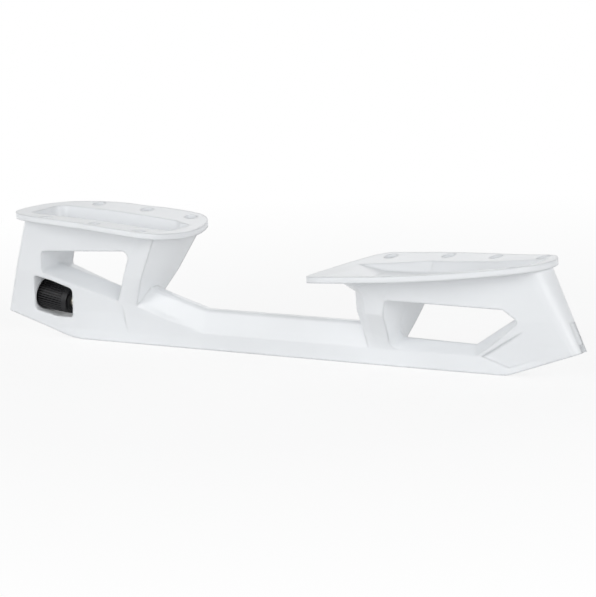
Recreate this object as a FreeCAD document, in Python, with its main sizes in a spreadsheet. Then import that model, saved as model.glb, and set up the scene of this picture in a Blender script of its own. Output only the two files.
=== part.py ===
import FreeCAD, Part
import math
import operator
import os

import Sketcher

# Hockey skate blade holder, in millimetres.
# X runs from heel to toe, Y across, Z up. The origin is on the bottom of the blade rail,
# half way between the heel tip and the toe tip.

# Every driving size. A height is above the bottom of the rail, a half width is from the middle
# plane, and a place along X is measured forward from the origin unless it says "behind".
SIZES = {
    # Blade rail: a house-shaped section
    "rail_half_width": 5.5,
    "rail_edge_height": 6.9,
    "rail_edge_bevel": 0.3,
    "rail_band_half_width": 4.4,
    "rail_band_height": 10.4,
    "rail_crest_half_width": 2.4,
    "rail_crest_drop": 0.8,
    "rail_crest_flat": 1.3,
    "rail_height": 16.5,
    "rail_overlap": 6.0,
    "rail_nose_share": 0.78,
    # Both ends of the rail sweep up
    "heel_tip": 142.1,
    "heel_flat_end": 105.5,
    "heel_rise_angle": 17.0,
    "heel_rise_round": 40.0,
    "toe_tip": 142.3,
    "toe_flat_end": 109.5,
    "toe_rise_angle": 18.5,
    "toe_rise_round": 15.0,
    # Saddle, where the rail climbs into the heel post
    "saddle_front": 36.5,
    "saddle_middle": 55.5,
    "saddle_foot": 76.5,
    "saddle_middle_ridge": 12.1,
    "saddle_middle_half": 6.6,
    "saddle_middle_bend": 9.0,
    "saddle_middle_bend_half": 6.0,
    "saddle_middle_band": 13.9,
    "saddle_middle_crest": 21.7,
    "saddle_foot_ridge": 19.5,
    "saddle_foot_band": 23.5,
    "saddle_foot_crest": 28.1,
    "saddle_middle_spread": 0.8,
    "saddle_foot_spread": 2.5,
    # Heel tower
    "heel_wall_start": 4.5,
    "heel_wall_bend": 13.0,
    "heel_wall_bend_half": 6.9,
    "heel_face_bend_half": 5.8,
    "heel_shoulder_height": 30.0,
    "heel_tower_top": 58.0,
    "heel_rear_lean": 19.0,
    "heel_post_face": 61.3,
    "heel_post_lean": 30.0,
    "heel_wall_shoulder": 11.1,
    "heel_wall_top": 14.2,
    "heel_face_shoulder": 13.7,
    "heel_face_top": 19.4,
    "heel_face_length": 11.5,
    "heel_rear_round": 0.5,
    # Heel window, at the middle plane and at the outer face
    "heel_window_rear": 116.5,
    "heel_window_rear_low": 32.1,
    "heel_window_rear_high": 38.4,
    "heel_window_front": 67.9,
    "heel_window_front_high": 41.0,
    "heel_window_front_low": 22.6,
    "heel_window_lean": 10.6,
    "heel_window_rear_lean": 1.6,
    "heel_window_sill_rear_drop": 4.7,
    "heel_window_sill_front_drop": 10.1,
    "heel_window_round": 2.6,
    "heel_window_sill_round": 1.6,
    "window_draft": 0.7,
    "window_reach": 20.0,
    # Heel sole flange
    "heel_flange_rear": 132.0,
    "heel_flange_rear_turn": 129.8,
    "heel_flange_rear_half": 9.5,
    "heel_flange_corner": 126.6,
    "heel_flange_corner_half": 13.6,
    "heel_flange_side": 120.0,
    "heel_flange_side_half": 18.3,
    "heel_flange_flank": 105.0,
    "heel_flange_flank_half": 22.6,
    "heel_flange_waist": 84.5,
    "heel_flange_waist_half": 23.6,
    "heel_flange_widest": 68.5,
    "heel_flange_widest_half": 24.9,
    "heel_flange_shoulder": 56.5,
    "heel_flange_shoulder_half": 24.2,
    "heel_flange_nose_corner": 50.2,
    "heel_flange_nose_corner_half": 20.9,
    "heel_flange_nose": 46.5,
    "heel_flange_nose_half": 15.0,
    "heel_flange_front": 43.4,
    "heel_arch_start": 144.5,
    "heel_flange_height": 55.2,
    "heel_arch_radius": 900.0,
    "heel_cup_radius": 200.0,
    "flange_thickness": 2.6,
    # Heel cavity
    "heel_cavity_floor": 43.8,
    "heel_cavity_rear": 120.0,
    "heel_cavity_front": 55.5,
    "heel_cavity_half": 8.6,
    "heel_cavity_draft": 12.0,
    "heel_cavity_corner": 5.0,
    "cavity_top": 60.0,
    # Toe sole flange
    "toe_flange_rear": 22.3,
    "toe_flange_rear_turn": 29.5,
    "toe_flange_rear_half": 24.0,
    "toe_flange_corner": 33.5,
    "toe_flange_corner_half": 28.0,
    "toe_flange_side": 40.5,
    "toe_flange_side_half": 29.7,
    "toe_flange_straight_end": 59.5,
    "toe_flange_straight_half": 29.4,
    "toe_flange_turn": 75.5,
    "toe_flange_turn_half": 27.4,
    "toe_flange_taper_start": 89.5,
    "toe_flange_taper_half": 24.6,
    "toe_flange_nose": 118.0,
    "toe_flange_nose_half": 16.2,
    "toe_flange_front": 129.2,
    "toe_flange_height": 36.2,
    "toe_arch_radius": 828.0,
    "toe_cup_radius": 160.0,
    # Toe cavity: a shelf behind, a deeper floor in front
    "toe_shelf_floor": 35.0,
    "toe_shelf_rear": 45.5,
    "toe_cavity_floor": 31.2,
    "toe_cavity_rear": 77.5,
    "toe_cavity_front": 120.5,
    "toe_cavity_half": 13.0,
    "toe_cavity_inset": 1.2,
    "toe_cavity_front_half": 5.4,
    "toe_cavity_draft": 10.0,
    "toe_cavity_corner": 3.0,
    "toe_cavity_step": 35.0,
    # Toe window
    "toe_window_rear": 55.7,
    "toe_window_rear_low": 11.4,
    "toe_window_rear_high": 28.9,
    "toe_window_rear_lean": 6.6,
    "toe_window_front": 111.0,
    "toe_window_front_high": 27.1,
    "toe_window_point": 114.0,
    "toe_window_point_height": 23.6,
    "toe_window_sill_front": 93.5,
    "toe_window_sill_low": 10.7,
    "toe_window_sill_drop": 15.2,
    "toe_window_sill_spread": 8.1,
    "toe_window_point_spread": 8.5,
    "toe_window_point_drop": 2.6,
    "toe_window_round": 1.6,
    "toe_window_heel_round": 4.0,
    # Nose
    "nose_lean": 24.0,
    "nose_round": 0.85,
    # Rivet holes, in pairs
    "rivet_hole": 5.6,
    "heel_rivet_rear": 106.1,
    "heel_rivet_middle": 80.4,
    "heel_rivet_front": 57.1,
    "heel_rivet_half": 18.5,
    "heel_rivet_middle_half": 18.8,
    "toe_rivet_first": 39.5,
    "toe_rivet_first_half": 24.5,
    "toe_rivet_second": 67.3,
    "toe_rivet_second_half": 24.5,
    "toe_rivet_third": 92.4,
    "toe_rivet_third_half": 19.6,
    "toe_rivet_fourth": 118.5,
    "toe_rivet_fourth_half": 12.1,
    # Blade slot
    "slot_width": 3.3,
    "slot_height": 7.5,
    "slot_tail": 124.0,
    "slot_tail_height": 3.0,
    "slot_tail_step": 101.5,
    "slot_tail_slope": 5.0,
    "toe_hook_rear": 99.5,
    "toe_hook_front": 114.5,
    "toe_hook_height": 13.5,
    "toe_hook_rear_slope": 1.0,
    "toe_hook_front_slope": 2.0,
    "nose_slot_start": 123.5,
    "nose_slot_start_height": 12.5,
    "nose_slot_height": 22.3,
    "nose_slot_low": 13.5,
    "nose_slot_depth": 0.9,
    # Dial window
    "dial_window_rear": 124.1,
    "dial_window_rear_top": 121.7,
    "dial_window_rear_high": 27.75,
    "dial_window_crown": 112.5,
    "dial_window_crown_high": 25.9,
    "dial_window_rear_low": 11.8,
    "dial_window_front_high": 22.6,
    "dial_window_front_low": 9.4,
    "dial_window_lean": 0.9,
    "dial_window_front_lean": 3.0,
    "dial_window_seat_gap": 0.5,
    "dial_window_round": 1.8,
    # Lock dial and its axis
    "dial_axis_behind": 125.5,
    "dial_axis_height": 18.5,
    "dial_tilt": 9.8,
    "dial_start": -0.1,
    "dial_length": 17.0,
    "dial_radius": 6.5,
    "dial_front_radius": 5.8,
    "dial_dome": 1.6,
    "dial_cap_radius": 4.2,
    "dial_dome_edge": 0.5,
    "dial_dome_radius": 5.8,
    "dial_shoulder_radius": 6.15,
    "dial_ring_width": 2.3,
    "dial_rib_count": 36,
    "dial_groove_half": 0.12,
    "dial_groove_flare": 0.35,
    "dial_groove_depth": 0.5,
    "dial_groove_reach": 1.0,
    "dial_wall": 1.3,
    "dial_bore_step": 0.3,
    "dial_clearance": 0.4,
    # Threaded insert, washer, bush, spring and hook
    "insert_radius": 4.0,
    "insert_length": 9.0,
    "collar_radius": 3.3,
    "seat_distance": 22.5,
    "seat_radius": 4.6,
    "seat_depth": 1.5,
    "washer_radius": 4.3,
    "washer_thickness": 0.8,
    "bush_radius": 3.7,
    "bush_length": 6.0,
    "shank_radius": 2.0,
    "running_clearance": 0.05,
    "release_travel": 2.8,
    "clip_thickness": 0.6,
    "clip_radius": 3.1,
    "clip_groove_depth": 0.45,
    "shank_end": 0.8,
    "shank_chamfer": 0.4,
    "spring_length": 8.6,
    "spring_wire": 0.7,
    "spring_turns": 6.0,
    "spring_clearance": 0.4,
    "shoulder_thickness": 1.0,
    "hook_length": 13.0,
    "hook_rise": 3.0,
    "hook_drop": 6.9,
    "hook_mouth": 4.0,
    "hook_mouth_height": 2.6,
    "hook_lip": 3.0,
    "hook_chamfer": 3.0,
    "hook_heel": 2.0,
    "slot_clearance": 0.2,
    "chamber_clearance": 0.6,
    "chamber_end": 0.5,
}

# Plan sections of the toe tower, from the bottom up: height, then the rear face, the bevelled
# corner behind the post, the widest place and the nose.
TOE_LEVELS = {
    "keel": dict(height=0.0, rear=47.5, corner=52.5, wide=63.5),
    "edge": dict(height=6.9, rear=45.5, corner=50.5, wide=63.5),
    "foot": dict(height=13.5, rear=43.6, corner=48.6, wide=59.5,
                 rear_half=5.3, corner_half=7.6, wide_half=10.0, nose_half=4.9),
    "waist": dict(height=23.0, rear=42.5, corner=51.0, wide=61.5,
                  rear_half=8.0, corner_half=15.0, wide_half=16.8, nose_half=6.0),
    "neck": dict(height=30.5, rear=42.7, corner=50.5, wide=62.5,
                 rear_half=8.6, corner_half=15.8, wide_half=17.3, nose_half=6.8),
    "collar": dict(height=35.0, rear=36.0, corner=47.5, wide=63.5,
                   rear_half=11.0, corner_half=17.5, wide_half=17.6, nose_half=7.4),
    "crown": dict(height=52.0, rear=34.0, corner=46.5, wide=63.5,
                  rear_half=12.0, corner_half=18.0, wide_half=17.8, nose_half=8.6),
}

document = FreeCAD.newDocument("SkateBladeHolder")
sheet = document.addObject("Spreadsheet::Sheet", "Sizes")


class Size:
    """A length as a number together with the formula that the document keeps for it."""

    def __init__(self, value, formula):
        self.value = value
        self.formula = formula

    def join(self, other, sign, work):
        other = as_size(other)
        return Size(work(self.value, other.value), f"({self.formula} {sign} {other.formula})")

    def __add__(self, other):
        return self.join(other, "+", operator.add)

    def __sub__(self, other):
        return self.join(other, "-", operator.sub)

    def __mul__(self, other):
        return self.join(other, "*", operator.mul)

    def __truediv__(self, other):
        return self.join(other, "/", operator.truediv)

    def __radd__(self, other):
        return as_size(other) + self

    def __rsub__(self, other):
        return as_size(other) - self

    def __rmul__(self, other):
        return as_size(other) * self

    def __neg__(self):
        return 0 - self


def as_size(number):
    return number if isinstance(number, Size) else Size(float(number), f"{float(number)}")


def tangent(angle):
    return Size(math.tan(math.radians(angle.value)), f"tan({angle.formula})")


class Sizes:
    """Gives each cell of the sheet by its alias."""

    def __init__(self):
        self.row = 0

    def add(self, alias, value):
        self.row += 1
        sheet.set(f"A{self.row}", alias)
        sheet.set(f"B{self.row}", f"{value}")
        sheet.setAlias(f"B{self.row}", alias)
        setattr(self, alias, Size(float(value), f"Sizes.{alias}"))


size = Sizes()
for alias, value in SIZES.items():
    size.add(alias, value)
for level, measures in TOE_LEVELS.items():
    for measure, value in measures.items():
        size.add(f"toe_{level}_{measure}", value)
document.recompute()


def bind(target, name, value):
    target.setExpression(name, as_size(value).formula)


def new_body(label):
    body = document.addObject("PartDesign::Body", label)
    body.Label = label
    return body


def origin_plane(body, role):
    return next(item for item in body.Origin.OriginFeatures if item.Role == role)


def place_sketch(body, name, role, offset=0, base=None, turn=None):
    """A sketch on an origin plane, moved along its normal, and moved and turned in the plane."""
    sketch = body.newObject("Sketcher::SketchObject", name)
    sketch.AttachmentSupport = (origin_plane(body, role), [""])
    sketch.MapMode = "FlatFace"
    across, up = base if base else (0, 0)
    bind(sketch, "AttachmentOffset.Base.x", across)
    bind(sketch, "AttachmentOffset.Base.y", up)
    bind(sketch, "AttachmentOffset.Base.z", offset)
    if turn is not None:
        sketch.AttachmentOffset = FreeCAD.Placement(
            FreeCAD.Vector(), FreeCAD.Rotation(FreeCAD.Vector(0, 0, 1), turn.value))
        bind(sketch, "AttachmentOffset.Rotation.Angle", turn)
    return sketch


def pin_point(sketch, geometry, position, place):
    """Hold one point of a sketch at a pair of sizes."""
    for kind, distance in zip(("DistanceX", "DistanceY"), place):
        distance = as_size(distance)
        index = sketch.addConstraint(
            Sketcher.Constraint(kind, -1, 1, geometry, position, distance.value))
        sketch.setExpression(f"Constraints[{index}]", distance.formula)


def flat(place):
    return FreeCAD.Vector(as_size(place[0]).value, as_size(place[1]).value, 0)


def start_of(sketch, geometry, point):
    """Which end of a curve, 1 or 2, lies at a point."""
    near = (sketch.getPoint(geometry, 1) - point).Length
    far = (sketch.getPoint(geometry, 2) - point).Length
    return 1 if near < far else 2


def draw_outline(sketch, path):
    """Draw a closed outline.

    A corner is (x, y), or (x, y, radius) where it is rounded. ("via", x, y) between two corners
    makes the stretch between them an arc through that point.
    """
    corners = [item for item in path if item[0] != "via"]
    vias = {}
    seen = 0
    for item in path:
        if item[0] == "via":
            vias[(seen - 1) % len(corners)] = item[1:]
        else:
            seen += 1
    count = len(corners)
    entry, leave, rounds = [], [], []
    for index, corner in enumerate(corners):
        here = flat(corner)
        if len(corner) == 2:
            entry.append(here)
            leave.append(here)
            rounds.append(None)
            continue
        back = (flat(corners[index - 1]) - here).normalize()
        ahead = (flat(corners[(index + 1) % count]) - here).normalize()
        half_angle = back.getAngle(ahead) / 2
        radius = as_size(corner[2])
        reach = radius.value / math.tan(half_angle)
        centre = here + (back + ahead).normalize() * (radius.value / math.sin(half_angle))
        entry.append(here + back * reach)
        leave.append(here + ahead * reach)
        middle = centre + (here - centre).normalize() * radius.value
        rounds.append((middle, radius))
    stretches = []
    for index in range(count):
        begin, finish = leave[index], entry[(index + 1) % count]
        if index in vias:
            stretches.append(sketch.addGeometry(Part.Arc(begin, flat(vias[index]), finish)))
        else:
            stretches.append(sketch.addGeometry(Part.LineSegment(begin, finish)))
    for index, corner in enumerate(corners):
        before, after = stretches[index - 1], stretches[index]
        before_end = start_of(sketch, before, entry[index])
        after_end = start_of(sketch, after, leave[index])
        if rounds[index] is None:
            sketch.addConstraint(
                Sketcher.Constraint("Coincident", before, before_end, after, after_end))
            pin_point(sketch, after, after_end, corner)
            continue
        middle, radius = rounds[index]
        arc = sketch.addGeometry(Part.Arc(entry[index], middle, leave[index]))
        for line, line_end, point in (
                (before, before_end, entry[index]), (after, after_end, leave[index])):
            sketch.addConstraint(Sketcher.Constraint(
                "Tangent", line, line_end, arc, start_of(sketch, arc, point)))
        held = sketch.addConstraint(Sketcher.Constraint("Radius", arc, radius.value))
        sketch.setExpression(f"Constraints[{held}]", radius.formula)
        tip = sketch.addGeometry(Part.Point(flat(corner)), True)
        pin_point(sketch, tip, 1, corner)
        for line in (before, after):
            sketch.addConstraint(Sketcher.Constraint("PointOnObject", tip, 1, line))
    for index, via in vias.items():
        point = sketch.addGeometry(Part.Point(flat(via)), True)
        pin_point(sketch, point, 1, via)
        sketch.addConstraint(Sketcher.Constraint("PointOnObject", point, 1, stretches[index]))
    return sketch


def draw_circle(sketch, place, radius):
    radius = as_size(radius)
    circle = sketch.addGeometry(
        Part.Circle(flat(place), FreeCAD.Vector(0, 0, 1), radius.value))
    pin_point(sketch, circle, 3, place)
    held = sketch.addConstraint(Sketcher.Constraint("Radius", circle, radius.value))
    sketch.setExpression(f"Constraints[{held}]", radius.formula)


def mirrored(half, swap):
    """The other half of an outline, across the first (0) or the second (1) coordinate."""
    other = []
    for item in reversed(half):
        item = list(item)
        place = swap + 1 if item[0] == "via" else swap
        item[place] = -as_size(item[place])
        other.append(tuple(item))
    return other


def loft(body, kind, name, sketches):
    feature = body.newObject(f"PartDesign::{kind}", name)
    feature.Profile = sketches[0]
    feature.Sections = sketches[1:]
    feature.Ruled = True
    for sketch in sketches:
        sketch.Visibility = False
    return feature


def pad(body, name, sketch, length, side="One side", backwards=False):
    feature = body.newObject("PartDesign::Pad", name)
    feature.Profile = sketch
    feature.SideType = side
    feature.Reversed = backwards
    bind(feature, "Length", length)
    return feature


def pocket(body, name, sketch, length, side="Symmetric", backwards=False):
    feature = body.newObject("PartDesign::Pocket", name)
    feature.Profile = sketch
    feature.SideType = side
    feature.Reversed = backwards
    bind(feature, "Length", length)
    return feature


def turn_profile(body, kind, name, sketch, axis="H_Axis", angle=360):
    feature = body.newObject(f"PartDesign::{kind}", name)
    feature.Profile = sketch
    feature.ReferenceAxis = (sketch, [axis])
    bind(feature, "Angle", angle)
    return feature


# Places worked out from the sizes
heel_tip_height = (size.heel_tip - size.heel_flat_end) * tangent(size.heel_rise_angle)
toe_tip_height = (size.toe_tip - size.toe_flat_end) * tangent(size.toe_rise_angle)
heel_wall_slope = ((size.heel_wall_shoulder - size.heel_wall_bend_half)
                   / (size.heel_shoulder_height - size.heel_wall_bend))


def heel_rear(height):
    """How far the rear of the heel tower is behind the origin at a height."""
    return size.heel_tip - (height - heel_tip_height) * tangent(size.heel_rear_lean)


def heel_face(height):
    """How far the front face of the heel post is behind the origin at a height."""
    return size.heel_post_face - (height - size.heel_shoulder_height) * tangent(size.heel_post_lean)


def heel_wall(height):
    """Half width of the heel tower's side wall above its bend."""
    return size.heel_wall_bend_half + (height - size.heel_wall_bend) * heel_wall_slope


def toe_nose(height):
    return size.toe_tip - (height - toe_tip_height) * tangent(size.nose_lean)


def rail_section():
    return [
        (size.rail_half_width, 0),
        (size.rail_half_width, size.rail_edge_height),
        (size.rail_half_width - size.rail_edge_bevel,
         size.rail_edge_height + 2 * size.rail_edge_bevel),
        (size.rail_band_half_width, size.rail_band_height),
        (size.rail_crest_half_width, size.rail_height - size.rail_crest_drop),
        (size.rail_crest_flat, size.rail_height),
    ]


def saddle_section(bend, ridge, band, crest, spread):
    """A section of the saddle: taller than the rail, and wider by the slope of the heel wall."""
    return [
        (size.rail_half_width, 0),
        (size.rail_half_width, size.heel_wall_start),
        bend,
        ridge,
        (size.rail_band_half_width + spread, band),
        (size.rail_crest_half_width + spread / 2, crest - size.rail_crest_drop),
        (size.rail_crest_flat + spread / 4, crest),
    ]


def across(body, name, place, half):
    """A symmetric section across the holder at a place along X."""
    sketch = place_sketch(body, name, "YZ_Plane", place)
    return draw_outline(sketch, half + mirrored(half, 0))


def frame_blank():
    """Rail, saddle and the two towers, before the sole flanges are joined on."""
    body = new_body("frame_blank")
    toe_end = size.toe_window_rear + size.rail_overlap / 2
    rail_start = heel_face(as_size(0)) + size.rail_overlap
    section = across(body, "RailSection", -rail_start, rail_section())
    pad(body, "Rail", section, rail_start + toe_end)
    foot = saddle_section(
        (size.heel_wall_bend_half, size.heel_wall_bend),
        (heel_wall(size.saddle_foot_ridge), size.saddle_foot_ridge),
        size.saddle_foot_band, size.saddle_foot_crest, size.saddle_foot_spread)
    middle = saddle_section(
        (size.saddle_middle_bend_half, size.saddle_middle_bend),
        (size.saddle_middle_half, size.saddle_middle_ridge),
        size.saddle_middle_band, size.saddle_middle_crest, size.saddle_middle_spread)
    front = rail_section()
    front.insert(1, (size.rail_half_width, size.heel_wall_start))
    saddle = [
        across(body, "SaddleFoot", -size.saddle_foot, foot),
        across(body, "SaddleMiddle", -size.saddle_middle, middle),
        across(body, "SaddleFront", -size.saddle_front, front),
    ]
    loft(body, "AdditiveLoft", "Saddle", saddle)
    heel_tower(body)
    toe_tower(body)
    heel_window(body)
    toe_window(body)
    tip_cuts(body)
    return body


def heel_tower(body):
    levels = [
        (as_size(0), size.rail_half_width, size.rail_half_width),
        (size.heel_wall_start, size.rail_half_width, size.rail_half_width),
        (size.heel_wall_bend, size.heel_wall_bend_half, size.heel_face_bend_half),
        (size.heel_shoulder_height, size.heel_wall_shoulder, size.heel_face_shoulder),
        (size.heel_tower_top, size.heel_wall_top, size.heel_face_top),
    ]
    sketches = []
    for number, (height, wall, face) in enumerate(levels):
        front, rear = heel_face(height), heel_rear(height)
        half = [
            (-front, face),
            (-front - size.heel_face_length, wall),
            (-rear + wall * size.heel_rear_round, wall),
        ]
        path = half + [("via", -rear, 0)] + mirrored(half, 1)
        sketch = place_sketch(body, f"HeelLevel{number}", "XY_Plane", height)
        sketches.append(draw_outline(sketch, path))
    loft(body, "AdditiveLoft", "HeelTower", sketches)


def toe_tower(body):
    sketches = []
    for level, measures in TOE_LEVELS.items():
        def measure(name):
            return getattr(size, f"toe_{level}_{name}", size.rail_half_width)

        height = measure("height")
        nose_half = (measure("nose_half") if "nose_half" in measures
                     else size.rail_half_width * size.rail_nose_share)
        front = toe_nose(height)
        half = [
            (measure("rear"), measure("rear_half")),
            (measure("corner"), measure("corner_half")),
            (measure("wide"), measure("wide_half")),
            (front - nose_half * size.nose_round, nose_half),
        ]
        path = half + [("via", front, 0)] + mirrored(half, 1)
        sketch = place_sketch(body, f"Toe{level.capitalize()}", "XY_Plane", height)
        sketches.append(draw_outline(sketch, path))
    loft(body, "AdditiveLoft", "ToeTower", sketches)


def window(body, name, centre, outer):
    """A window through the tower: one outline at the middle plane, a wider one each side."""
    sketches = [
        draw_outline(place_sketch(body, f"{name}Near", "XZ_Plane", size.window_reach), outer),
        draw_outline(place_sketch(body, f"{name}Middle", "XZ_Plane"), centre),
        draw_outline(place_sketch(body, f"{name}Far", "XZ_Plane", -size.window_reach), outer),
    ]
    loft(body, "SubtractiveLoft", name, sketches)


def heel_window(body):
    def outline(spread, rear_drop, front_drop):
        corner, sill = size.heel_window_round, size.heel_window_sill_round
        return [
            (-size.heel_window_rear - spread, size.heel_window_rear_low - rear_drop, sill),
            (-size.heel_window_front - size.heel_window_lean + spread,
             size.heel_window_front_low - front_drop, sill),
            (-size.heel_window_front + spread, size.heel_window_front_high + spread, corner),
            (-size.heel_window_rear + size.heel_window_rear_lean - spread,
             size.heel_window_rear_high + spread, sill),
        ]

    window(body, "HeelWindow", outline(as_size(0), as_size(0), as_size(0)), outline(
        size.window_draft, size.heel_window_sill_rear_drop, size.heel_window_sill_front_drop))


def toe_window(body):
    def outline(spread, drop, sill_spread, point_spread, point_drop):
        corner = size.toe_window_round
        return [
            (size.toe_window_rear - spread, size.toe_window_rear_low - drop,
             size.toe_window_heel_round),
            (size.toe_window_sill_front + sill_spread, size.toe_window_sill_low - drop, corner),
            (size.toe_window_point + point_spread,
             size.toe_window_point_height - point_drop, corner),
            (size.toe_window_front + spread, size.toe_window_front_high + spread, corner),
            (size.toe_window_rear + size.toe_window_rear_lean - spread,
             size.toe_window_rear_high + spread, corner),
        ]

    none = as_size(0)
    window(body, "ToeWindow", outline(none, none, none, none, none), outline(
        size.window_draft, size.toe_window_sill_drop, size.toe_window_sill_spread,
        size.toe_window_point_spread, size.toe_window_point_drop))


def tip_cuts(body):
    """The rail's bottom sweeps up towards both tips."""
    below = as_size(-30)
    beyond = 20
    for name, sign, flat_end, tip, tip_height, bend in (
            ("HeelRise", -1, size.heel_flat_end, size.heel_tip, heel_tip_height,
             size.heel_rise_round),
            ("ToeRise", 1, size.toe_flat_end, size.toe_tip, toe_tip_height,
             size.toe_rise_round)):
        slope = tip_height / (tip - flat_end)
        start = flat_end - 30
        sketch = place_sketch(body, f"{name}Outline", "XZ_Plane")
        draw_outline(sketch, [
            (sign * start, below),
            (sign * start, as_size(0)),
            (sign * flat_end, as_size(0), bend),
            (sign * (tip + beyond), tip_height + beyond * slope),
            (sign * (tip + beyond), below),
        ])
        pocket(body, name, sketch, 2 * size.window_reach)


def plan_point(flange, name, sign):
    """A named point of a flange's outline; the heel's are behind the origin."""
    return (sign * getattr(size, f"{flange}_{name}"), getattr(size, f"{flange}_{name}_half"))


def heel_flange_plan():
    def at(name):
        return plan_point("heel_flange", name, -1)

    half = [
        at("nose"), ("via", *at("nose_corner")),
        at("shoulder"), ("via", *at("widest")),
        at("waist"), ("via", *at("flank")),
        at("side"), ("via", *at("corner")),
        (-size.heel_flange_rear_turn, size.heel_flange_rear_half),
    ]
    return half + [("via", -size.heel_flange_rear, 0)] + mirrored(half, 1) + [
        ("via", -size.heel_flange_front, 0)]


def toe_flange_plan():
    def at(name):
        return plan_point("toe_flange", name, 1)

    half = [
        (size.toe_flange_rear_turn, size.toe_flange_rear_half), ("via", *at("corner")),
        at("side"),
        (size.toe_flange_straight_end, size.toe_flange_straight_half), ("via", *at("turn")),
        (size.toe_flange_taper_start, size.toe_flange_taper_half),
        at("nose"),
    ]
    return half + [("via", size.toe_flange_front, 0)] + mirrored(half, 1) + [
        ("via", size.toe_flange_rear, 0)]


def arched_slab(label, start, height, arch, cup, reach, low, high, sweep, upward):
    """A slab with a cupped section, swept along an arch of large radius.

    The arch is level at start and bends down (upward = -1) or up (upward = 1) towards the toe.
    """
    body = new_body(label)
    centre = height + upward * arch
    middle = -upward * arch
    rise = reach * reach / (2 * cup)
    sketch = place_sketch(body, f"{label}_section", "YZ_Plane", start, (0, centre))
    draw_outline(sketch, [
        (-reach, middle + low + rise),
        ("via", 0, middle + low),
        (reach, middle + low + rise),
        (reach, middle + high + rise),
        ("via", 0, middle + high),
        (-reach, middle + high + rise),
    ])
    slab = turn_profile(body, "Revolution", f"{label}_sweep", sketch, angle=sweep)
    slab.Reversed = upward > 0
    return body


def sole_flange(label, plan, arch):
    """A flange plate: its plan outline, cut out of an arched and cupped slab."""
    blank = new_body(f"{label}_plan")
    sketch = draw_outline(place_sketch(blank, f"{label}_outline", "XY_Plane", 20), plan)
    pad(blank, f"{label}_prism", sketch, 60)
    slab = arched_slab(f"{label}_slab", low=-size.flange_thickness, high=as_size(0), **arch)
    plate = document.addObject("Part::MultiCommon", label)
    plate.Shapes = [blank, slab]
    above = arched_slab(f"{label}_above", low=as_size(0), high=as_size(24), **arch)
    return plate, above


HEEL_ARCH = dict(
    start=-size.heel_arch_start, height=size.heel_flange_height,
    arch=size.heel_arch_radius, cup=size.heel_cup_radius, reach=as_size(30),
    sweep=as_size(8), upward=-1)
TOE_ARCH = dict(
    start=as_size(0), height=size.toe_flange_height,
    arch=size.toe_arch_radius, cup=size.toe_cup_radius, reach=as_size(40),
    sweep=as_size(10), upward=1)

frame = frame_blank()
heel_plate, heel_above = sole_flange("heel_plate", heel_flange_plan(), HEEL_ARCH)
toe_plate, toe_above = sole_flange("toe_plate", toe_flange_plan(), TOE_ARCH)
document.recompute()

trims = document.addObject("Part::MultiFuse", "trims")
trims.Shapes = [heel_above, toe_above]
trimmed = document.addObject("Part::Cut", "trimmed_frame")
trimmed.Base = frame
trimmed.Tool = trims
moulding = document.addObject("Part::MultiFuse", "moulding")
moulding.Shapes = [trimmed, heel_plate, toe_plate]
moulding.Refine = True
document.recompute()


def cavity(body, name, floor, path_at):
    """A cavity open at the top: its walls slope, so the outline is larger higher up."""
    low = draw_outline(place_sketch(body, f"{name}Floor", "XY_Plane", floor), path_at(floor))
    high = draw_outline(
        place_sketch(body, f"{name}Mouth", "XY_Plane", size.cavity_top), path_at(size.cavity_top))
    loft(body, "SubtractiveLoft", name, [low, high])


def heel_cavity(body):
    def outline(height):
        spread = (height - size.heel_cavity_floor) * tangent(size.heel_cavity_draft)
        corner = size.heel_cavity_corner
        half = [
            (-size.heel_cavity_front + spread, size.heel_cavity_half + spread, corner),
            (-size.heel_cavity_rear - spread, size.heel_cavity_half + spread, corner),
        ]
        return half + mirrored(half, 1)

    cavity(body, "HeelCavity", size.heel_cavity_floor, outline)


def toe_cavity(body):
    def outline(rear, rear_half, height, floor):
        spread = (height - floor) * tangent(size.toe_cavity_draft)
        step = (height - floor) * tangent(size.toe_cavity_step)
        corner = size.toe_cavity_corner
        half = [
            (rear - step, rear_half + spread, corner),
            (size.toe_cavity_front + spread, size.toe_cavity_front_half + spread, corner),
        ]
        return half + mirrored(half, 1)

    cavity(body, "ToeCavity", size.toe_cavity_floor, lambda height: outline(
        size.toe_cavity_rear, size.toe_cavity_half - size.toe_cavity_inset, height,
        size.toe_cavity_floor))
    cavity(body, "ToeShelf", size.toe_shelf_floor, lambda height: outline(
        size.toe_shelf_rear, size.toe_cavity_half, height, size.toe_shelf_floor))


def rivet_holes(body):
    rows = {
        "HeelRivets": ([
            (-size.heel_rivet_rear, size.heel_rivet_half),
            (-size.heel_rivet_middle, size.heel_rivet_middle_half),
            (-size.heel_rivet_front, size.heel_rivet_half),
        ], size.heel_cavity_floor),
        "ToeRivets": ([
            (size.toe_rivet_first, size.toe_rivet_first_half),
            (size.toe_rivet_second, size.toe_rivet_second_half),
            (size.toe_rivet_third, size.toe_rivet_third_half),
            (size.toe_rivet_fourth, size.toe_rivet_fourth_half),
        ], size.toe_flange_height - 2 * size.flange_thickness),
    }
    for name, (places, bottom) in rows.items():
        sketch = place_sketch(body, f"{name}Places", "XY_Plane", size.cavity_top)
        for along, half in places:
            draw_circle(sketch, (along, half), size.rivet_hole / 2)
            draw_circle(sketch, (along, -half), size.rivet_hole / 2)
        pocket(body, name, sketch, size.cavity_top - bottom, side="One side")


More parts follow.
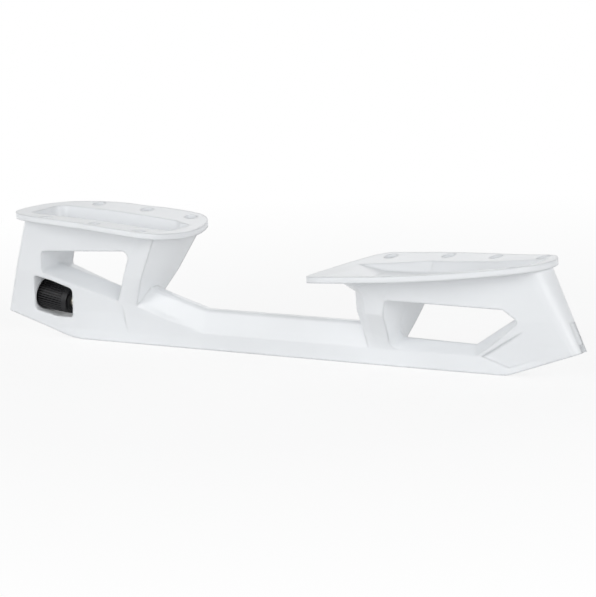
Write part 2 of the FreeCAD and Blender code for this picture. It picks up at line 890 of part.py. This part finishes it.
def dial_window(body):
    rear = size.dial_window_rear
    front = size.dial_axis_behind - size.seat_distance + size.dial_window_seat_gap
    corner = size.dial_window_round
    sketch = place_sketch(body, "DialWindowOutline", "XZ_Plane")
    draw_outline(sketch, [
        (-rear - size.dial_window_lean, size.dial_window_rear_low, corner),
        (-(rear + front) / 2, size.dial_window_front_low),
        (-front - size.dial_window_front_lean / 2, size.dial_window_front_low, corner),
        (-front + size.dial_window_front_lean / 2, size.dial_window_front_high, corner),
        (-size.dial_window_crown, size.dial_window_crown_high),
        (-size.dial_window_rear_top, size.dial_window_rear_high, corner),
    ])
    pocket(body, "DialWindow", sketch, 2 * size.window_reach)


def along_axis(body, name):
    """A sketch in the middle plane whose horizontal axis is the dial's axis."""
    return place_sketch(body, name, "XZ_Plane", 0,
                        (-size.dial_axis_behind, size.dial_axis_height), -size.dial_tilt)


# Distances along the dial's axis from the rear of its window
seat = size.seat_distance
washer_back = seat - size.washer_thickness
dial_front = size.dial_start + size.dial_length
insert_back = dial_front - size.insert_length
clip_back = insert_back - size.clip_thickness
shank_back = clip_back - size.shank_end
bush_front = seat + size.bush_length
shoulder_back = bush_front + size.spring_length
shoulder_front = shoulder_back + size.shoulder_thickness
hook_front = shoulder_front + size.hook_length
bore_radius = size.shank_radius + size.running_clearance


def dial_recess(body):
    """Round room for the dial to turn in, between the two side walls of its window."""
    sketch = along_axis(body, "DialRecessOutline")
    gap = size.dial_clearance
    draw_outline(sketch, [
        (size.dial_start - gap, as_size(0)),
        (size.dial_start - gap, size.dial_dome_radius),
        (size.dial_start - gap + size.dial_dome, size.dial_radius + gap),
        (dial_front + gap, size.dial_radius + gap),
        (dial_front + gap, as_size(0)),
    ])
    turn_profile(body, "Groove", "DialRecess", sketch)


def axis_bore(body):
    """Seat for the washer, bore for the bush and chamber for the spring, in one turned cut."""
    sketch = along_axis(body, "AxisBoreOutline")
    draw_outline(sketch, [
        (seat - size.seat_depth, as_size(0)),
        (seat - size.seat_depth, size.seat_radius),
        (seat, size.seat_radius),
        (seat, size.bush_radius),
        (shoulder_front + size.chamber_end, size.bush_radius),
        (shoulder_front + size.chamber_end, as_size(0)),
    ])
    turn_profile(body, "Groove", "AxisBore", sketch)


def hook_chamber(body):
    sketch = along_axis(body, "HookChamberOutline")
    gap = size.chamber_clearance
    draw_outline(sketch, [
        (shoulder_front - size.release_travel - gap, -size.hook_drop - gap),
        (hook_front + gap, -size.hook_drop - gap),
        (hook_front + gap, size.hook_rise + gap),
        (shoulder_front - size.release_travel - gap, size.hook_rise + gap),
    ])
    pocket(body, "HookChamber", sketch, size.slot_width)


def blade_slot(body):
    rise = tangent(size.heel_rise_angle)
    low = as_size(-2)
    sketch = place_sketch(body, "BladeSlotOutline", "XZ_Plane")
    tail_height = (size.slot_tail - size.heel_flat_end) * rise
    draw_outline(sketch, [
        (-size.slot_tail, low),
        (size.toe_tip + 10, low),
        (size.toe_tip + 10, size.nose_slot_height),
        (toe_nose(size.nose_slot_height) - size.nose_slot_depth, size.nose_slot_height),
        (toe_nose(size.nose_slot_low) - size.nose_slot_depth, size.nose_slot_low),
        (size.nose_slot_start, size.nose_slot_start_height),
        (size.toe_hook_front, size.nose_slot_start_height),
        (size.toe_hook_front - size.toe_hook_front_slope, size.toe_hook_height),
        (size.toe_hook_rear + size.toe_hook_rear_slope, size.toe_hook_height),
        (size.toe_hook_rear, size.slot_height),
        (-size.slot_tail_step + size.slot_tail_slope, size.slot_height),
        (-size.slot_tail_step, size.slot_tail_height),
        (-size.heel_flat_end, size.slot_tail_height),
        (-size.slot_tail, size.slot_tail_height + tail_height),
    ])
    pocket(body, "BladeSlot", sketch, size.slot_width)


def holder_body():
    body = new_body("holder_body")
    body.BaseFeature = moulding
    document.recompute()
    heel_cavity(body)
    toe_cavity(body)
    rivet_holes(body)
    dial_window(body)
    dial_recess(body)
    axis_bore(body)
    hook_chamber(body)
    blade_slot(body)
    return body


def axis_body(label):
    """A piece of the lock, modelled along its own X axis and set on the dial's axis."""
    body = new_body(label)
    body.Placement = FreeCAD.Placement(
        FreeCAD.Vector(), FreeCAD.Rotation(FreeCAD.Vector(0, 1, 0), size.dial_tilt.value))
    bind(body, "Placement.Base.x", -size.dial_axis_behind)
    bind(body, "Placement.Base.z", size.dial_axis_height)
    bind(body, "Placement.Rotation.Angle", size.dial_tilt)
    return body


def turned(body, name, path):
    sketch = draw_outline(place_sketch(body, f"{name}Profile", "XZ_Plane"), path)
    return turn_profile(body, "Revolution", name, sketch)


def ring_path(back, front, inner, outer):
    return [(back, inner), (front, inner), (front, outer), (back, outer)]


def lock_dial():
    """Barrel dial: domed behind, ribbed along its length, with a plain ring in front."""
    body = axis_body("lock_dial")
    back, front = size.dial_start, dial_front
    ring = front - size.dial_ring_width
    hollow = back + size.dial_wall
    turned(body, "Barrel", [
        (back, as_size(0)),
        (back, size.dial_cap_radius),
        (back + size.dial_dome_edge, size.dial_dome_radius),
        (back + size.dial_dome, size.dial_radius),
        (ring, size.dial_shoulder_radius),
        (front, size.dial_front_radius),
        (front, size.insert_radius),
        (insert_back, size.insert_radius),
        (hollow, size.insert_radius - size.dial_bore_step),
        (hollow, as_size(0)),
    ])
    document.recompute()
    sketch = place_sketch(body, "GrooveSection", "YZ_Plane", back - 1)
    top, half = size.dial_radius + size.dial_groove_reach, size.dial_groove_half
    draw_outline(sketch, [
        (-half - size.dial_groove_flare, top),
        (-half, size.dial_radius - size.dial_groove_depth),
        (half, size.dial_radius - size.dial_groove_depth),
        (half + size.dial_groove_flare, top),
    ])
    groove = pocket(body, "Groove", sketch, ring - back + 1, side="One side", backwards=True)
    document.recompute()
    pattern = body.newObject("PartDesign::PolarPattern", "Grooves")
    pattern.Originals = [groove]
    pattern.Axis = (body.Origin.OriginFeatures[0], [""])
    pattern.Angle = 360
    bind(pattern, "Occurrences", size.dial_rib_count)
    body.Tip = pattern
    return body


def dial_insert():
    body = axis_body("dial_insert")
    turned(body, "Sleeve", [
        (insert_back, bore_radius),
        (washer_back, bore_radius),
        (washer_back, size.collar_radius),
        (dial_front, size.collar_radius),
        (dial_front, size.insert_radius),
        (insert_back, size.insert_radius),
    ])
    return body


def thrust_washer():
    body = axis_body("thrust_washer")
    turned(body, "Ring", ring_path(
        washer_back, seat, bore_radius + size.running_clearance, size.washer_radius))
    return body


def guide_bush():
    body = axis_body("guide_bush")
    turned(body, "Sleeve", ring_path(seat, bush_front, bore_radius, size.bush_radius))
    return body


def hook_bolt():
    """Turned shank with a spring shoulder, and a flat hook that fills the blade slot."""
    body = axis_body("hook_bolt")
    groove = size.shank_radius - size.clip_groove_depth
    shoulder = size.bush_radius - size.spring_clearance
    turned(body, "Shank", [
        (shank_back, as_size(0)),
        (shank_back, size.shank_radius - size.shank_chamfer),
        (shank_back + size.shank_chamfer, size.shank_radius),
        (clip_back, size.shank_radius),
        (clip_back, groove),
        (insert_back, groove),
        (insert_back, size.shank_radius),
        (shoulder_back, size.shank_radius),
        (shoulder_back, shoulder),
        (shoulder_front, shoulder),
        (shoulder_front, as_size(0)),
    ])
    sketch = place_sketch(body, "HookOutline", "XZ_Plane")
    mouth_back = hook_front - size.hook_lip - size.hook_mouth
    mouth_roof = -size.hook_drop + size.hook_mouth_height
    draw_outline(sketch, [
        (shoulder_front, -size.shank_radius),
        (shoulder_front + size.hook_heel, -size.hook_drop),
        (mouth_back, -size.hook_drop),
        (mouth_back, mouth_roof),
        (hook_front - size.hook_lip, mouth_roof),
        (hook_front - size.hook_lip, -size.hook_drop),
        (hook_front, -size.hook_drop),
        (hook_front, size.hook_rise - size.hook_chamfer),
        (hook_front - size.hook_chamfer, size.hook_rise),
        (shoulder_front, size.hook_rise),
    ])
    pad(body, "Hook", sketch, size.slot_width - 2 * size.slot_clearance, side="Symmetric")
    return body


def stop_clip():
    body = axis_body("stop_clip")
    turned(body, "Ring", ring_path(
        clip_back, insert_back, size.shank_radius - size.clip_groove_depth, size.clip_radius))
    return body


def release_spring():
    """Coil spring round the shank, between the bush and the shoulder of the hook bolt."""
    body = axis_body("release_spring")
    wire = size.spring_wire / 2
    mean = size.bush_radius - size.spring_clearance - wire
    pitch = (size.spring_length - size.spring_wire) / size.spring_turns
    sketch = place_sketch(body, "WireSection", "XZ_Plane")
    flat_half = wire * math.sqrt(3) / 2
    middle = bush_front + wire
    draw_outline(sketch, [
        (middle - wire, mean),
        (middle - wire / 2, mean + flat_half),
        (middle + wire / 2, mean + flat_half),
        (middle + wire, mean),
        (middle + wire / 2, mean - flat_half),
        (middle - wire / 2, mean - flat_half),
    ])
    coil = body.newObject("PartDesign::AdditiveHelix", "Coil")
    coil.Profile = sketch
    coil.ReferenceAxis = (sketch, ["H_Axis"])
    coil.Mode = 0
    bind(coil, "Pitch", pitch)
    bind(coil, "Height", size.spring_length - size.spring_wire)
    return body


pieces = [
    holder_body(), lock_dial(), dial_insert(), thrust_washer(), guide_bush(), hook_bolt(),
    stop_clip(), release_spring(),
]
document.recompute()

for item in document.Objects:
    if {"Invalid", "Error"} & set(item.State):
        raise RuntimeError(f"{item.Name} failed: {item.State}")
for piece in pieces:
    if piece.Shape.isNull() or not piece.Shape.isValid():
        raise RuntimeError(f"{piece.Label} has no valid shape")
    if len(piece.Shape.Solids) != 1:
        raise RuntimeError(f"{piece.Label} is not one solid")

os.makedirs("parts", exist_ok=True)
for piece in pieces:
    piece.Shape.exportStep(f"parts/{piece.Label}.step")
    box = piece.Shape.BoundBox
    print(piece.Label, len(piece.Shape.Solids), "solid,", len(piece.Shape.Faces), "faces,",
          round(piece.Shape.Volume), "mm3, x", round(box.XMin, 2), round(box.XMax, 2), "y",
          round(box.YMin, 2), round(box.YMax, 2), "z", round(box.ZMin, 2), round(box.ZMax, 2))
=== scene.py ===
import math
import bpy
from mathutils import Matrix, Vector


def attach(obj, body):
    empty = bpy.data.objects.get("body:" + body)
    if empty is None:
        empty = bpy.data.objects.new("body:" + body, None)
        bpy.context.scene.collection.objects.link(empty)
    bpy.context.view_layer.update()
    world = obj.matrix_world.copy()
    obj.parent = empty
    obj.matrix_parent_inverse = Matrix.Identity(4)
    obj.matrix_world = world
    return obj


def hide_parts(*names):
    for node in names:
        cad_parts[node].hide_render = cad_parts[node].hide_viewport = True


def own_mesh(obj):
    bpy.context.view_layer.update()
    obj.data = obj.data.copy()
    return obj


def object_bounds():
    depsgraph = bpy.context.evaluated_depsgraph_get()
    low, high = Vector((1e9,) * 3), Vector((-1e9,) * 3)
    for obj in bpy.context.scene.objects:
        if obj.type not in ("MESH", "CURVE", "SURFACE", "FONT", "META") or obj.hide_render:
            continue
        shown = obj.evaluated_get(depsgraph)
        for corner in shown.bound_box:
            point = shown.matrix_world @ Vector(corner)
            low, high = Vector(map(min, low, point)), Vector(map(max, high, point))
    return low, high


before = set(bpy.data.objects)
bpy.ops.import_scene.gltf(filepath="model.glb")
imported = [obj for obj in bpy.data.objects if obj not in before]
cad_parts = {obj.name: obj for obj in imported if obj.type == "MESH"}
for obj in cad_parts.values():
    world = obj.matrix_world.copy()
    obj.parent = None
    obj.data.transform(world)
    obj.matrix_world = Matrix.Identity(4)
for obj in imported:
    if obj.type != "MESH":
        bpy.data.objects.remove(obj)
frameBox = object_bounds()
scene = bpy.context.scene


def deselectAll():
    bpy.ops.object.select_all(action="DESELECT")
    bpy.context.view_layer.objects.active = None


def pick(first, *others):
    # Selects these pieces only, the first one active
    deselectAll()
    for piece in (first, *others):
        piece.select_set(True)
    bpy.context.view_layer.objects.active = first


def newGroup(name, inputs, outputs):
    group = bpy.data.node_groups.new(name, "ShaderNodeTree")
    for label, kind, value in inputs:
        socket = group.interface.new_socket(name=label, in_out="INPUT", socket_type=kind)
        socket.default_value = value
    for label, kind in outputs:
        group.interface.new_socket(name=label, in_out="OUTPUT", socket_type=kind)
    entry = group.nodes.new("NodeGroupInput")
    leave = group.nodes.new("NodeGroupOutput")
    return group, entry, leave


def addNode(tree, kind, **values):
    # Each value goes to the input of that name, or else to the node's own setting
    node = tree.nodes.new(kind)
    for name, value in values.items():
        if name in node.inputs:
            node.inputs[name].default_value = value
        else:
            setattr(node, name, value)
    return node


def addMath(tree, operation, first, second):
    node = addNode(tree, "ShaderNodeMath", operation=operation)
    for socket, link in zip(node.inputs, (first, second)):
        tree.links.new(link, socket)
    return node.outputs["Value"]


def addRamp(tree, link, low, high, lowValue=0.0, highValue=1.0):
    node = tree.nodes.new("ShaderNodeMapRange")
    tree.links.new(link, node.inputs["Value"])
    node.inputs["From Min"].default_value = low
    node.inputs["From Max"].default_value = high
    node.inputs["To Min"].default_value = lowValue
    node.inputs["To Max"].default_value = highValue
    return node.outputs["Result"]


def mixColours(tree, factor, first, second):
    node = addNode(tree, "ShaderNodeMix", data_type="RGBA")
    tree.links.new(factor, node.inputs["Factor"])
    colourInputs = [socket for socket in node.inputs if socket.type == "RGBA"]
    for socket, colour in zip(colourInputs, (first, second)):
        socket.default_value = (*colour, 1.0)
    return next(socket for socket in node.outputs if socket.type == "RGBA")


def mixShaders(tree, factor, first, second, output):
    mix = tree.nodes.new("ShaderNodeMixShader")
    tree.links.new(factor, mix.inputs["Fac"])
    shaderInputs = [socket for socket in mix.inputs if socket.type == "SHADER"]
    for socket, node in zip(shaderInputs, (first, second)):
        tree.links.new(node.outputs[0], socket)
    tree.links.new(mix.outputs["Shader"], tree.nodes[output].inputs["Surface"])


# Mould texture that all the materials share
grainSettings = {
    "detail": 2.0, "fineRoughness": 0.6, "waveRoughness": 0.4,
    "maskLow": 0.3, "maskHigh": 0.7,
}


def makeGrainGroup(settings):
    # Fine texture with a slow, shallow waviness under it
    group, entry, leave = newGroup(
        "mouldGrain",
        [("Fine Scale", "NodeSocketFloat", 900.0), ("Wave Scale", "NodeSocketFloat", 45.0),
         ("Fine Share", "NodeSocketFloat", 0.35)],
        [("Height", "NodeSocketFloat"), ("Mask", "NodeSocketFloat")])
    place = group.nodes.new("ShaderNodeTexCoord").outputs["Object"]
    fine = addNode(group, "ShaderNodeTexNoise",
                   Detail=settings["detail"], Roughness=settings["fineRoughness"])
    wave = addNode(group, "ShaderNodeTexNoise",
                   Detail=settings["detail"], Roughness=settings["waveRoughness"])
    for noise, scale in ((fine, "Fine Scale"), (wave, "Wave Scale")):
        group.links.new(place, noise.inputs["Vector"])
        group.links.new(entry.outputs[scale], noise.inputs["Scale"])
    fineHeight = addMath(group, "MULTIPLY", fine.outputs["Fac"], entry.outputs["Fine Share"])
    group.links.new(addMath(group, "ADD", fineHeight, wave.outputs["Fac"]), leave.inputs["Height"])
    group.links.new(wave.outputs["Fac"], leave.inputs["Mask"])
    return group


grainGroup = makeGrainGroup(grainSettings)

# What a material has unless its own dictionary says otherwise
plainFinish = {
    "metallic": 0.0, "coat": 0.0, "coatRoughness": 0.1, "ior": 1.45, "specular": 0.5,
    "edgeRadius": 0.0, "edgeSamples": 10,
}


def makeMaterial(name, ownSettings):
    settings = {**plainFinish, **ownSettings}
    material = bpy.data.materials.new(name)
    material.use_nodes = True
    tree = material.node_tree
    shader = tree.nodes["Principled BSDF"]
    grain = tree.nodes.new("ShaderNodeGroup")
    grain.node_tree = grainGroup
    grain.inputs["Fine Scale"].default_value = settings["fineScale"]
    grain.inputs["Wave Scale"].default_value = settings["waveScale"]
    grain.inputs["Fine Share"].default_value = settings["fineShare"]
    maskRange = (grainSettings["maskLow"], grainSettings["maskHigh"])
    mask = addRamp(tree, grain.outputs["Mask"], *maskRange)
    colour = mixColours(tree, mask, settings["colour"], settings["colourTwo"])
    tree.links.new(colour, shader.inputs["Base Color"])
    rough = addRamp(tree, grain.outputs["Mask"], *maskRange, *settings["roughness"])
    tree.links.new(rough, shader.inputs["Roughness"])
    bump = addNode(tree, "ShaderNodeBump",
                   Strength=settings["bumpStrength"], Distance=settings["bumpDistance"])
    if settings["edgeRadius"]:  # softens the moulded edges
        edge = addNode(tree, "ShaderNodeBevel",
                       samples=settings["edgeSamples"], Radius=settings["edgeRadius"])
        tree.links.new(edge.outputs["Normal"], bump.inputs["Normal"])
    tree.links.new(grain.outputs["Height"], bump.inputs["Height"])
    tree.links.new(bump.outputs["Normal"], shader.inputs["Normal"])
    for label, key in (("Metallic", "metallic"), ("Coat Weight", "coat"), ("Coat Roughness", "coatRoughness"),
                       ("IOR", "ior"), ("Specular IOR Level", "specular")):
        shader.inputs[label].default_value = settings[key]
    return material


holderPlastic = makeMaterial("satinWhitePlastic", {
    "colour": (0.84, 0.855, 0.87), "colourTwo": (0.87, 0.885, 0.90), "roughness": (0.30, 0.38),
    "fineScale": 1400.0, "waveScale": 30.0, "fineShare": 0.25,
    "bumpStrength": 0.08, "bumpDistance": 0.0002, "coat": 0.12, "coatRoughness": 0.25,
    "edgeRadius": 0.0015})
dialPlastic = makeMaterial("blackDialPlastic", {
    "colour": (0.008, 0.008, 0.009), "colourTwo": (0.014, 0.014, 0.016), "roughness": (0.34, 0.46),
    "fineScale": 2200.0, "waveScale": 160.0, "fineShare": 0.6,
    "bumpStrength": 0.2, "bumpDistance": 0.0001, "edgeRadius": 0.0001, "specular": 0.35})
insertBrass = makeMaterial("turnedBrass", {
    "colour": (0.74, 0.71, 0.62), "colourTwo": (0.66, 0.63, 0.54), "roughness": (0.22, 0.36),
    "fineScale": 2600.0, "waveScale": 300.0, "fineShare": 0.5,
    "bumpStrength": 0.15, "bumpDistance": 0.0001, "metallic": 1.0})
machinedSteel = makeMaterial("machinedSteel", {
    "colour": (0.60, 0.61, 0.63), "colourTwo": (0.52, 0.53, 0.55), "roughness": (0.24, 0.38),
    "fineScale": 2600.0, "waveScale": 220.0, "fineShare": 0.5,
    "bumpStrength": 0.15, "bumpDistance": 0.0001, "metallic": 1.0})
springSteel = makeMaterial("springSteel", {
    "colour": (0.45, 0.46, 0.48), "colourTwo": (0.36, 0.37, 0.39), "roughness": (0.28, 0.42),
    "fineScale": 3000.0, "waveScale": 400.0, "fineShare": 0.5,
    "bumpStrength": 0.15, "bumpDistance": 0.0001, "metallic": 1.0})

nodeMaterials = {
    "holder_body": holderPlastic, "lock_dial": dialPlastic, "dial_insert": insertBrass,
    "guide_bush": insertBrass, "thrust_washer": machinedSteel, "hook_bolt": machinedSteel,
    "stop_clip": machinedSteel, "release_spring": springSteel,
}
for nodeName, material in nodeMaterials.items():
    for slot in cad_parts[nodeName].material_slots:
        slot.material = material
print("materials assigned to", len(nodeMaterials), "nodes")


# Tools for the pieces that change a copy of a CAD solid
mergeDistance = 0.000001


def copyNode(nodeName, pieceName):
    # A copy of a CAD solid with its loose triangles joined
    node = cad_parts[nodeName]
    piece = node.copy()
    piece.data = node.data.copy()
    piece.name = pieceName
    scene.collection.objects.link(piece)
    piece.parent = None
    piece.matrix_world = Matrix()
    pick(piece)
    bpy.ops.object.mode_set(mode="EDIT")
    bpy.ops.mesh.select_all(action="SELECT")
    bpy.ops.mesh.remove_doubles(threshold=mergeDistance)
    bpy.ops.mesh.customdata_custom_splitnormals_clear()
    bpy.ops.object.mode_set(mode="OBJECT")
    return piece


def hexBlock(name, placeOf):
    # A cube with each corner, which starts at 1 or -1 on each axis, moved to its own place
    deselectAll()
    bpy.ops.mesh.primitive_cube_add(size=2.0)
    block = bpy.context.object
    block.name = name
    for corner in block.data.vertices:
        corner.co = placeOf(*(round(value) for value in corner.co))
    return block


def applyModifier(piece, modifier):
    pick(piece)
    bpy.ops.object.modifier_apply(modifier=modifier.name)


def roundEdges(piece, width, steps):
    rounding = piece.modifiers.new("rounding", "BEVEL")
    rounding.width = width
    rounding.segments = steps
    applyModifier(piece, rounding)


def cutAway(piece, block):
    pick(block)
    bpy.ops.object.mode_set(mode="EDIT")
    bpy.ops.mesh.select_all(action="SELECT")
    bpy.ops.mesh.normals_make_consistent(inside=False)
    bpy.ops.object.mode_set(mode="OBJECT")
    cut = piece.modifiers.new("cut", "BOOLEAN")
    cut.operation = "DIFFERENCE"
    cut.solver = "EXACT"
    cut.object = block
    applyModifier(piece, cut)
    bpy.data.objects.remove(block)


def finishPiece(piece, nodeName, body):
    pick(piece)
    bpy.ops.object.shade_flat()
    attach(piece, body)
    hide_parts(nodeName)
    print(piece.name, "has", len(piece.data.polygons), "faces")


# The moulding as it shows: the CAD solid with wider cavity mouths and a shallow hollow by the toe window
mouldingSettings = {
    # Each cavity mouth: place along X, half width and height at its rear and front, low and high
    "cavityMouths": {
        "heelMouth": {
            "low": ((-0.0700, 0.0082, 0.0440), (-0.0573, 0.0066, 0.0440)),
            "high": ((-0.0740, 0.0100, 0.0525), (-0.0467, 0.0086, 0.0525)),
            "corner": 0.0020},
        "toeRearMouth": {
            "low": ((0.0445, 0.0130, 0.03505), (0.0640, 0.0150, 0.03505)),
            "high": ((0.0012, 0.0115, 0.0420), (0.0640, 0.0196, 0.0420)),
            "corner": 0.0},
        "toeFrontMouth": {
            "low": ((0.0630, 0.0150, 0.0351), (0.1190, 0.0062, 0.0400)),
            "high": ((0.0630, 0.0196, 0.0422), (0.1245, 0.0088, 0.0480)),
            "corner": 0.0},
    },
    "cornerSteps": 3,
    # Hollow beside the toe window: place along X, height and distance from the middle plane, as above
    "sideHollow": {
        "low": ((0.0985, 0.0070, 0.0042), (0.1105, 0.0032, 0.00405)),
        "high": ((0.1200, 0.0195, 0.0074), (0.1320, 0.0102, 0.0050))},
    "hollowReach": 0.02,
}


def cornerValues(form, x, z):
    # The values that a form's dictionary gives for this corner
    return form["high" if z > 0 else "low"][1 if x > 0 else 0]


def mouthBlock(name, mouth, cornerSteps):
    def cornerPlace(x, y, z):
        along, half, height = cornerValues(mouth, x, z)
        return Vector((along, y * half, height))

    block = hexBlock(name, cornerPlace)
    if mouth["corner"]:
        roundEdges(block, mouth["corner"], cornerSteps)
    return block


def hollowBlock(side, settings):
    def cornerPlace(x, y, z):
        along, height, inner = cornerValues(settings["sideHollow"], x, z)
        return Vector((along, side * (settings["hollowReach"] if y > 0 else inner), height))

    return hexBlock("sideHollow", cornerPlace)


def makeMoulding(settings):
    moulding = copyNode("holder_body", "moulding")
    for name, mouth in settings["cavityMouths"].items():
        cutAway(moulding, mouthBlock(name, mouth, settings["cornerSteps"]))
    for side in (-1, 1):
        cutAway(moulding, hollowBlock(side, settings))
    finishPiece(moulding, "holder_body", "holder")


makeMoulding(mouldingSettings)


# The dial as it shows: deeper grooves between its ribs and a plain neck in front
dialSettings = {
    "axisPlace": (-0.1255, 0.0, 0.0185), "axisTilt": 9.8,
    # Grooves: start and end along the axis, distance of floor and top from it, half widths
    "grooveCount": 36, "grooveStart": -0.0006, "grooveEnd": 0.0146,
    "grooveFloor": 0.0056, "grooveTop": 0.0076, "floorHalf": 0.00013, "topHalf": 0.00062,
    "neckStart": 0.0160, "neckEnd": 0.0178, "neckRadius": 0.0047, "neckSides": 48,
    "neckBevel": 0.0004, "neckBevelSteps": 2,
}


def grooveBlocks(settings, axis):
    # All the grooves as one block, round the dial's axis
    def cornerPlace(x, y, z):
        along = settings["grooveEnd"] if x > 0 else settings["grooveStart"]
        half = settings["topHalf"] if z > 0 else settings["floorHalf"]
        return Vector((along, y * half, settings["grooveTop"] if z > 0 else settings["grooveFloor"]))

    grooves = []
    for index in range(settings["grooveCount"]):
        groove = hexBlock("groove", cornerPlace)
        turn = Matrix.Rotation(2 * math.pi * index / settings["grooveCount"], 4, "X")
        groove.data.transform(axis @ turn)
        grooves.append(groove)
    pick(*grooves)
    bpy.ops.object.join()
    return grooves[0]


def neckRing(settings, axis):
    deselectAll()
    bpy.ops.mesh.primitive_cylinder_add(
        vertices=settings["neckSides"], radius=settings["neckRadius"],
        depth=settings["neckEnd"] - settings["neckStart"])
    neck = bpy.context.object
    roundEdges(neck, settings["neckBevel"], settings["neckBevelSteps"])
    middle = Matrix.Translation(((settings["neckStart"] + settings["neckEnd"]) / 2, 0, 0))
    layDown = Matrix.Rotation(math.pi / 2, 4, "Y")  # from along Z to along X
    neck.data.transform(axis @ middle @ layDown)
    neck.data.materials.clear()
    neck.data.materials.append(dialPlastic)
    return neck


def makeDial(settings):
    dial = copyNode("lock_dial", "ribbedDial")
    tilt = Matrix.Rotation(math.radians(settings["axisTilt"]), 4, "Y")
    axis = Matrix.Translation(settings["axisPlace"]) @ tilt
    cutAway(dial, grooveBlocks(settings, axis))
    neck = neckRing(settings, axis)
    pick(dial, neck)
    bpy.ops.object.join()
    finishPiece(dial, "lock_dial", "dial")


makeDial(dialSettings)


def makeSpring():
    spring = copyNode("release_spring", "coil")
    pick(spring)
    bpy.ops.object.shade_smooth()
    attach(spring, "holder")
    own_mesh(spring)
    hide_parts("release_spring")


makeSpring()


# Floor, world and lamps
studioSettings = {
    "floorColour": (0.9, 0.9, 0.9), "floorRoughness": 0.9, "floorSize": 8.0, "floorGap": 0.0002,
    # The floor's white glow, from near the object to far away; the weaker glow near the object paints a grey
    # pool of shade there, with the real shadow in it
    "shadePoolGlow": 0.86, "farGlow": 1.0, "glowStart": 0.16, "glowEnd": 0.42,
    "horizonColour": (0.62, 0.63, 0.64), "zenithColour": (0.30, 0.305, 0.31), "zenithHeight": 0.9,
    "lamps": {
        "key": {"place": (-0.75, -1.5, 0.75), "power": 10.0, "size": 1.2},
        "fill": {"place": (1.7, -0.9, 0.7), "power": 14.0, "size": 1.4},
        "back": {"place": (-0.6, 1.5, 1.0), "power": 4.0, "size": 1.4},
    },
    "aimHeight": 0.02,
}
plainWhite = (1.0, 1.0, 1.0, 1.0)


def seenDirectly(tree):
    # 1 for the camera, gloss and glass, 0 for the light that falls on surfaces
    path = tree.nodes.new("ShaderNodeLightPath")
    seen = addMath(tree, "MAXIMUM", path.outputs["Is Camera Ray"], path.outputs["Is Glossy Ray"])
    return addMath(tree, "MAXIMUM", seen, path.outputs["Is Transmission Ray"])


def makeFloor(settings):
    deselectAll()
    bpy.ops.mesh.primitive_plane_add(
        size=settings["floorSize"], location=(0, 0, frameBox[0][2] - settings["floorGap"]))
    floor = bpy.context.object
    floor.name = "floor"
    material = bpy.data.materials.new("paleFloor")
    material.use_nodes = True
    tree = material.node_tree
    shader = tree.nodes["Principled BSDF"]
    shader.inputs["Base Color"].default_value = (*settings["floorColour"], 1.0)
    shader.inputs["Roughness"].default_value = settings["floorRoughness"]
    white = addNode(tree, "ShaderNodeEmission", Color=plainWhite, Strength=1.0)
    place = tree.nodes.new("ShaderNodeTexCoord")
    reach = addNode(tree, "ShaderNodeVectorMath", operation="LENGTH")
    tree.links.new(place.outputs["Object"], reach.inputs[0])
    # Painted shade pool: less glow near the object lets the lit floor, with its real shadow, show as a grey
    # pool
    glow = addRamp(tree, reach.outputs["Value"], settings["glowStart"], settings["glowEnd"],
                   settings["shadePoolGlow"], settings["farGlow"])
    whiteShare = addMath(tree, "MULTIPLY", seenDirectly(tree), glow)
    mixShaders(tree, whiteShare, shader, white, "Material Output")
    floor.data.materials.append(material)


def makeWorld(settings):
    world = bpy.data.worlds.new("studio")
    scene.world = world
    world.use_nodes = True
    tree = world.node_tree
    back = tree.nodes["Background"]
    place = tree.nodes.new("ShaderNodeTexCoord")
    split = tree.nodes.new("ShaderNodeSeparateXYZ")
    tree.links.new(place.outputs["Generated"], split.inputs["Vector"])
    height = addRamp(tree, split.outputs["Z"], 0.0, settings["zenithHeight"])
    colour = mixColours(tree, height, settings["horizonColour"], settings["zenithColour"])
    tree.links.new(colour, back.inputs["Color"])
    white = addNode(tree, "ShaderNodeBackground", Color=plainWhite, Strength=1.0)
    mixShaders(tree, seenDirectly(tree), back, white, "World Output")


def addLamp(name, settings, aimHeight):
    data = bpy.data.lights.new(name, "AREA")
    data.shape = "DISK"
    data.size = settings["size"]
    data.energy = settings["power"]
    lamp = bpy.data.objects.new(name, data)
    scene.collection.objects.link(lamp)
    lamp.location = settings["place"]
    sight = Vector((0, 0, aimHeight)) - Vector(settings["place"])
    lamp.rotation_euler = sight.to_track_quat("-Z", "Y").to_euler()


makeFloor(studioSettings)
makeWorld(studioSettings)
for lampName, lampSettings in studioSettings["lamps"].items():
    addLamp(lampName, lampSettings, studioSettings["aimHeight"])
print("studio ready")


# Camera at the photograph's angle: its place, its own right and up, lens and sensor in mm
cameraSettings = {
    "place": (0.69876, -1.01592, 0.25506),
    "right": (0.831392, 0.553509, -0.049137),
    "up": (-0.062491, 0.180994, 0.981497),
    "lens": 182.83, "sensor": 36.0, "nearest": 0.01,
}


def makeCamera(settings):
    data = bpy.data.cameras.new("photoCamera")
    data.lens = settings["lens"]
    data.sensor_width = settings["sensor"]
    data.clip_start = settings["nearest"]
    camera = bpy.data.objects.new("photoCamera", data)
    scene.collection.objects.link(camera)
    right, up = Vector(settings["right"]), Vector(settings["up"])
    back = right.cross(up)
    turn = Matrix((right, up, back)).transposed()
    camera.matrix_world = Matrix.Translation(settings["place"]) @ turn.to_4x4()
    scene.camera = camera


makeCamera(cameraSettings)
scene.view_settings.view_transform = "Standard"
print("camera ready")
